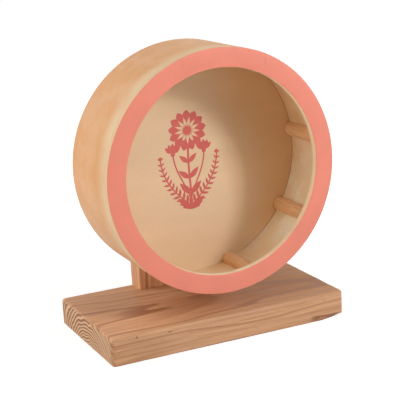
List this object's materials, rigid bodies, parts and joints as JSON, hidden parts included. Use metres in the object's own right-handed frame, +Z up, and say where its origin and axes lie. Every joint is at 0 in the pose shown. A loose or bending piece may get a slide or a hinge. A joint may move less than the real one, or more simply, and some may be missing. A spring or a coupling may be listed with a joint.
{
  "type": "hamster wheel",
  "caption": "Wooden running wheel for a hamster: closed drum with a painted front ring and half-round rungs, turning on ball bearings in a post on a base board.",
  "frame": {"origin": "middle of the base board's underside, on the surface the wheel stands on", "axes": "+Z up, +Y from the wheel's open front along its axle to the post, +X to the right seen from the front"},
  "size_m": [0.213, 0.1284, 0.243],
  "materials": {
    "board_wood": "planed softwood, oiled, strong growth rings",
    "painted_ring": "plywood, front face painted matt coral, edges bare",
    "hoop_plywood": "thin bent birch plywood, sanded",
    "disc_plywood": "birch plywood, sanded, with a printed plant motif",
    "rung_wood": "sanded half-round strip",
    "beech": "turned, sanded",
    "zinc_steel": "zinc plated",
    "bearing_steel": "ground and polished",
    "shield_steel": "pressed sheet"
  },
  "bodies": {
    "stand": {"base_board": "board_wood", "upright_post": "board_wood", "post_screws": "zinc_steel", "post_dowels": "beech", "front_bearing_outer_ring": "bearing_steel", "rear_bearing_outer_ring": "bearing_steel", "front_bearing_shields": "shield_steel", "rear_bearing_shields": "shield_steel"},
    "wheel": {"front_ring": "painted_ring", "running_hoop": "hoop_plywood", "back_disc": "disc_plywood", "rung_1": "rung_wood", "rung_2": "rung_wood", "rung_3": "rung_wood", "rung_4": "rung_wood", "rung_5": "rung_wood", "rung_6": "rung_wood", "rung_7": "rung_wood", "rung_8": "rung_wood", "rung_9": "rung_wood", "hub_block": "beech", "hub_screws": "zinc_steel", "threaded_insert": "zinc_steel", "hub_sleeve": "zinc_steel", "inner_spacer": "zinc_steel", "rear_washer": "zinc_steel", "axle_bolt": "zinc_steel", "front_bearing_inner_ring": "bearing_steel", "rear_bearing_inner_ring": "bearing_steel"},
    "front_ball_set": {"front_bearing_balls": "bearing_steel", "front_bearing_cage": "shield_steel"},
    "rear_ball_set": {"rear_bearing_balls": "bearing_steel", "rear_bearing_cage": "shield_steel"}
  },
  "joints": [
    {"name": "wheel_spin", "type": "hinge", "parent": "stand", "child": "wheel", "pos_m": [0, 0.01775, 0.143], "axis": [0, 1, 0], "continuous": true},
    {"name": "front_cage_orbit", "type": "hinge", "parent": "stand", "child": "front_ball_set", "pos_m": [0, 0.04425, 0.143], "axis": [0, 1, 0], "continuous": true},
    {"name": "rear_cage_orbit", "type": "hinge", "parent": "stand", "child": "rear_ball_set", "pos_m": [0, 0.05725, 0.143], "axis": [0, 1, 0], "continuous": true}
  ],
  "couplings": [
    {"joint": "front_cage_orbit", "follows": "wheel_spin", "ratio": 0.37},
    {"joint": "rear_cage_orbit", "follows": "wheel_spin", "ratio": 0.37}
  ]
}
